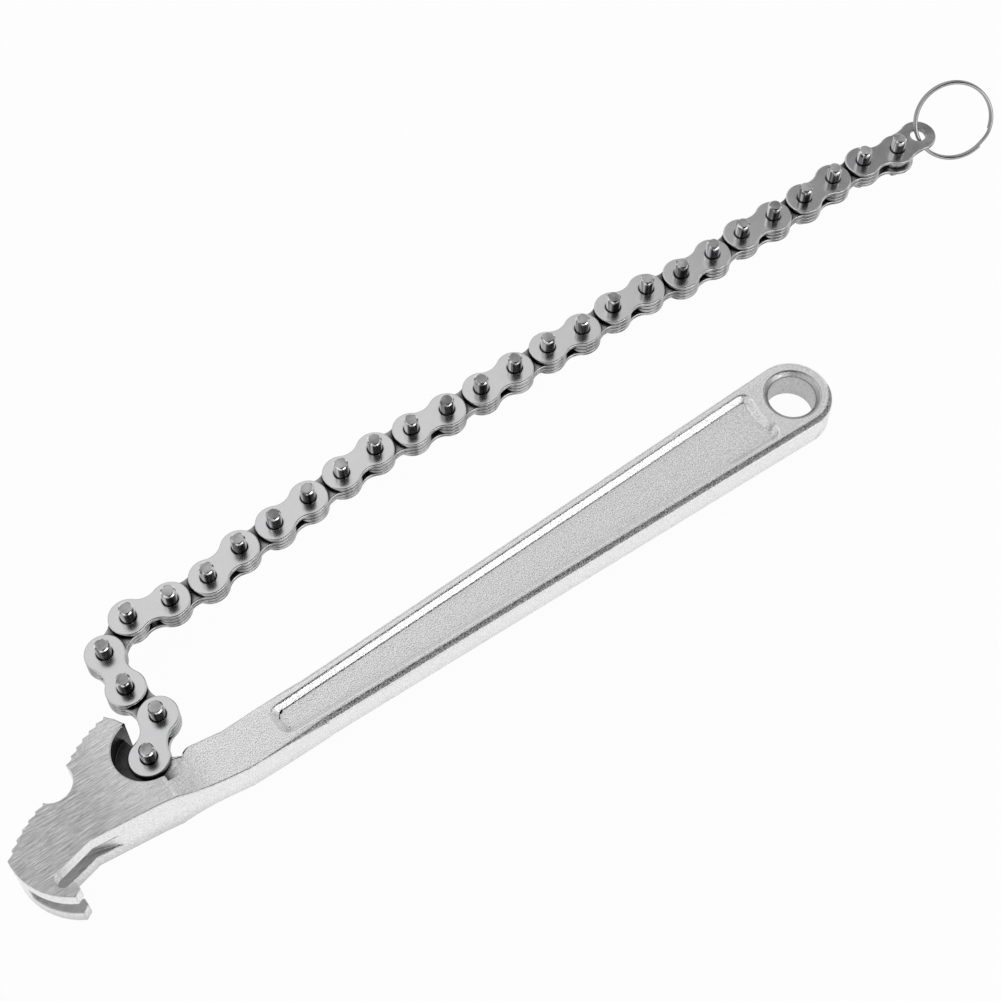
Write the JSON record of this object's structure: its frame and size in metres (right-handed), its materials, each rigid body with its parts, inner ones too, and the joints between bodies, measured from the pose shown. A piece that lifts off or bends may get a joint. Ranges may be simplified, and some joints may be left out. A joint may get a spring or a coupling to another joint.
{
  "type": "chain pipe wrench",
  "caption": "Hand wrench for pipes: a plated forged handle with toothed jaws and a forked claw, a leaf chain hinged in the head, and a split pull ring on the chain's free end.",
  "frame": {"origin": "centre of the hanging hole, on the handle's mid plane", "axes": "+X along the grip away from the head, +Z along the chain pins, +Y from the grip towards the chain"},
  "size_m": [0.3867, 0.0772, 0.0266],
  "materials": {
    "handle_plating": "satin plating, ground on the head's faces",
    "chain_plate": "satin",
    "pin_steel": "satin",
    "ring_wire": "bright"
  },
  "bodies": {
    "handle": {"handle": "handle_plating"},
    "link_01": {"link_01_upper_plate": "chain_plate", "link_01_lower_plate": "chain_plate", "link_01_pins": "pin_steel"},
    "link_02": {"link_02_inner_plates": "chain_plate"},
    "link_03": {"link_03_upper_plate": "chain_plate", "link_03_lower_plate": "chain_plate", "link_03_pins": "pin_steel"},
    "link_04": {"link_04_inner_plates": "chain_plate"},
    "link_05": {"link_05_upper_plate": "chain_plate", "link_05_lower_plate": "chain_plate", "link_05_pins": "pin_steel"},
    "link_06": {"link_06_inner_plates": "chain_plate"},
    "link_07": {"link_07_upper_plate": "chain_plate", "link_07_lower_plate": "chain_plate", "link_07_pins": "pin_steel"},
    "link_08": {"link_08_inner_plates": "chain_plate"},
    "link_09": {"link_09_upper_plate": "chain_plate", "link_09_lower_plate": "chain_plate", "link_09_pins": "pin_steel"},
    "link_10": {"link_10_inner_plates": "chain_plate"},
    "link_11": {"link_11_upper_plate": "chain_plate", "link_11_lower_plate": "chain_plate", "link_11_pins": "pin_steel"},
    "link_12": {"link_12_inner_plates": "chain_plate"},
    "link_13": {"link_13_upper_plate": "chain_plate", "link_13_lower_plate": "chain_plate", "link_13_pins": "pin_steel"},
    "link_14": {"link_14_inner_plates": "chain_plate"},
    "link_15": {"link_15_upper_plate": "chain_plate", "link_15_lower_plate": "chain_plate", "link_15_pins": "pin_steel"},
    "link_16": {"link_16_inner_plates": "chain_plate"},
    "link_17": {"link_17_upper_plate": "chain_plate", "link_17_lower_plate": "chain_plate", "link_17_pins": "pin_steel"},
    "link_18": {"link_18_inner_plates": "chain_plate"},
    "link_19": {"link_19_upper_plate": "chain_plate", "link_19_lower_plate": "chain_plate", "link_19_pins": "pin_steel"},
    "link_20": {"link_20_inner_plates": "chain_plate"},
    "link_21": {"link_21_upper_plate": "chain_plate", "link_21_lower_plate": "chain_plate", "link_21_pins": "pin_steel"},
    "link_22": {"link_22_inner_plates": "chain_plate"},
    "link_23": {"link_23_upper_plate": "chain_plate", "link_23_lower_plate": "chain_plate", "link_23_pins": "pin_steel"},
    "link_24": {"link_24_inner_plates": "chain_plate"},
    "link_25": {"link_25_upper_plate": "chain_plate", "link_25_lower_plate": "chain_plate", "link_25_pins": "pin_steel"},
    "link_26": {"link_26_inner_plates": "chain_plate"},
    "link_27": {"link_27_upper_plate": "chain_plate", "link_27_lower_plate": "chain_plate", "link_27_pins": "pin_steel", "end_spacer": "pin_steel"},
    "ring": {"pull_ring": "ring_wire"}
  },
  "joints": [
    {"name": "hinge_01", "type": "hinge", "parent": "handle", "child": "link_01", "pos_m": [-0.217, 0.0132, 0], "axis": [0, 0, 1], "range_deg": [-8, 15]},
    {"name": "hinge_02", "type": "hinge", "parent": "link_01", "child": "link_02", "pos_m": [-0.2085, 0.02264, 0], "axis": [0, 0, -1], "range_deg": [-24, 8]},
    {"name": "hinge_03", "type": "hinge", "parent": "link_02", "child": "link_03", "pos_m": [-0.21157, 0.03496, 0], "axis": [0, 0, 1], "range_deg": [-8, 40]},
    {"name": "hinge_04", "type": "hinge", "parent": "link_03", "child": "link_04", "pos_m": [-0.21091, 0.04764, 0], "axis": [0, 0, -1], "range_deg": [-40, 8]},
    {"name": "hinge_05", "type": "hinge", "parent": "link_04", "child": "link_05", "pos_m": [-0.1997, 0.05361, 0], "axis": [0, 0, 1], "range_deg": [-8, 40]},
    {"name": "hinge_06", "type": "hinge", "parent": "link_05", "child": "link_06", "pos_m": [-0.18719, 0.0514, 0], "axis": [0, 0, -1], "range_deg": [-40, 8]},
    {"name": "hinge_07", "type": "hinge", "parent": "link_06", "child": "link_07", "pos_m": [-0.17449, 0.0514, 0], "axis": [0, 0, 1], "range_deg": [-10, 40]},
    {"name": "hinge_08", "type": "hinge", "parent": "link_07", "child": "link_08", "pos_m": [-0.16212, 0.05426, 0], "axis": [0, 0, -1], "range_deg": [-40, 10]},
    {"name": "hinge_09", "type": "hinge", "parent": "link_08", "child": "link_09", "pos_m": [-0.14945, 0.05514, 0], "axis": [0, 0, 1], "range_deg": [-12, 40]},
    {"name": "hinge_10", "type": "hinge", "parent": "link_09", "child": "link_10", "pos_m": [-0.13684, 0.05669, 0], "axis": [0, 0, -1], "range_deg": [-40, 12]},
    {"name": "hinge_11", "type": "hinge", "parent": "link_10", "child": "link_11", "pos_m": [-0.12421, 0.05802, 0], "axis": [0, 0, 1], "range_deg": [-14, 40]},
    {"name": "hinge_12", "type": "hinge", "parent": "link_11", "child": "link_12", "pos_m": [-0.11156, 0.05912, 0], "axis": [0, 0, -1], "range_deg": [-40, 16]},
    {"name": "hinge_13", "type": "hinge", "parent": "link_12", "child": "link_13", "pos_m": [-0.09888, 0.05846, 0], "axis": [0, 0, 1], "range_deg": [-18, 40]},
    {"name": "hinge_14", "type": "hinge", "parent": "link_13", "child": "link_14", "pos_m": [-0.08618, 0.05802, 0], "axis": [0, 0, -1], "range_deg": [-40, 20]},
    {"name": "hinge_15", "type": "hinge", "parent": "link_14", "child": "link_15", "pos_m": [-0.07348, 0.05802, 0], "axis": [0, 0, 1], "range_deg": [-24, 40]},
    {"name": "hinge_16", "type": "hinge", "parent": "link_15", "child": "link_16", "pos_m": [-0.06078, 0.05824, 0], "axis": [0, 0, -1], "range_deg": [-40, 28]},
    {"name": "hinge_17", "type": "hinge", "parent": "link_16", "child": "link_17", "pos_m": [-0.04809, 0.05846, 0], "axis": [0, 0, 1], "range_deg": [-32, 40]},
    {"name": "hinge_18", "type": "hinge", "parent": "link_17", "child": "link_18", "pos_m": [-0.0354, 0.0578, 0], "axis": [0, 0, -1], "range_deg": [-40, 40]},
    {"name": "hinge_19", "type": "hinge", "parent": "link_18", "child": "link_19", "pos_m": [-0.02274, 0.05868, 0], "axis": [0, 0, 1], "range_deg": [-40, 40]},
    {"name": "hinge_20", "type": "hinge", "parent": "link_19", "child": "link_20", "pos_m": [-0.01004, 0.05824, 0], "axis": [0, 0, -1], "range_deg": [-40, 40]},
    {"name": "hinge_21", "type": "hinge", "parent": "link_20", "child": "link_21", "pos_m": [0.00253, 0.05647, 0], "axis": [0, 0, 1], "range_deg": [-40, 40]},
    {"name": "hinge_22", "type": "hinge", "parent": "link_21", "child": "link_22", "pos_m": [0.01523, 0.05669, 0], "axis": [0, 0, -1], "range_deg": [-40, 40]},
    {"name": "hinge_23", "type": "hinge", "parent": "link_22", "child": "link_23", "pos_m": [0.0279, 0.05758, 0], "axis": [0, 0, 1], "range_deg": [-40, 40]},
    {"name": "hinge_24", "type": "hinge", "parent": "link_23", "child": "link_24", "pos_m": [0.04059, 0.05713, 0], "axis": [0, 0, -1], "range_deg": [-40, 40]},
    {"name": "hinge_25", "type": "hinge", "parent": "link_24", "child": "link_25", "pos_m": [0.05329, 0.05691, 0], "axis": [0, 0, 1], "range_deg": [-40, 40]},
    {"name": "hinge_26", "type": "hinge", "parent": "link_25", "child": "link_26", "pos_m": [0.06597, 0.05758, 0], "axis": [0, 0, -1], "range_deg": [-40, 40]},
    {"name": "hinge_27", "type": "hinge", "parent": "link_26", "child": "link_27", "pos_m": [0.07867, 0.05736, 0], "axis": [0, 0, 1], "range_deg": [-40, 40]},
    {"name": "ring_swing", "type": "hinge", "parent": "link_27", "child": "ring", "pos_m": [0.10038, 0.0552, 0.0024], "axis": [0.8992, -0.3096, 0.309], "range_deg": [-3, 77]}
  ]
}
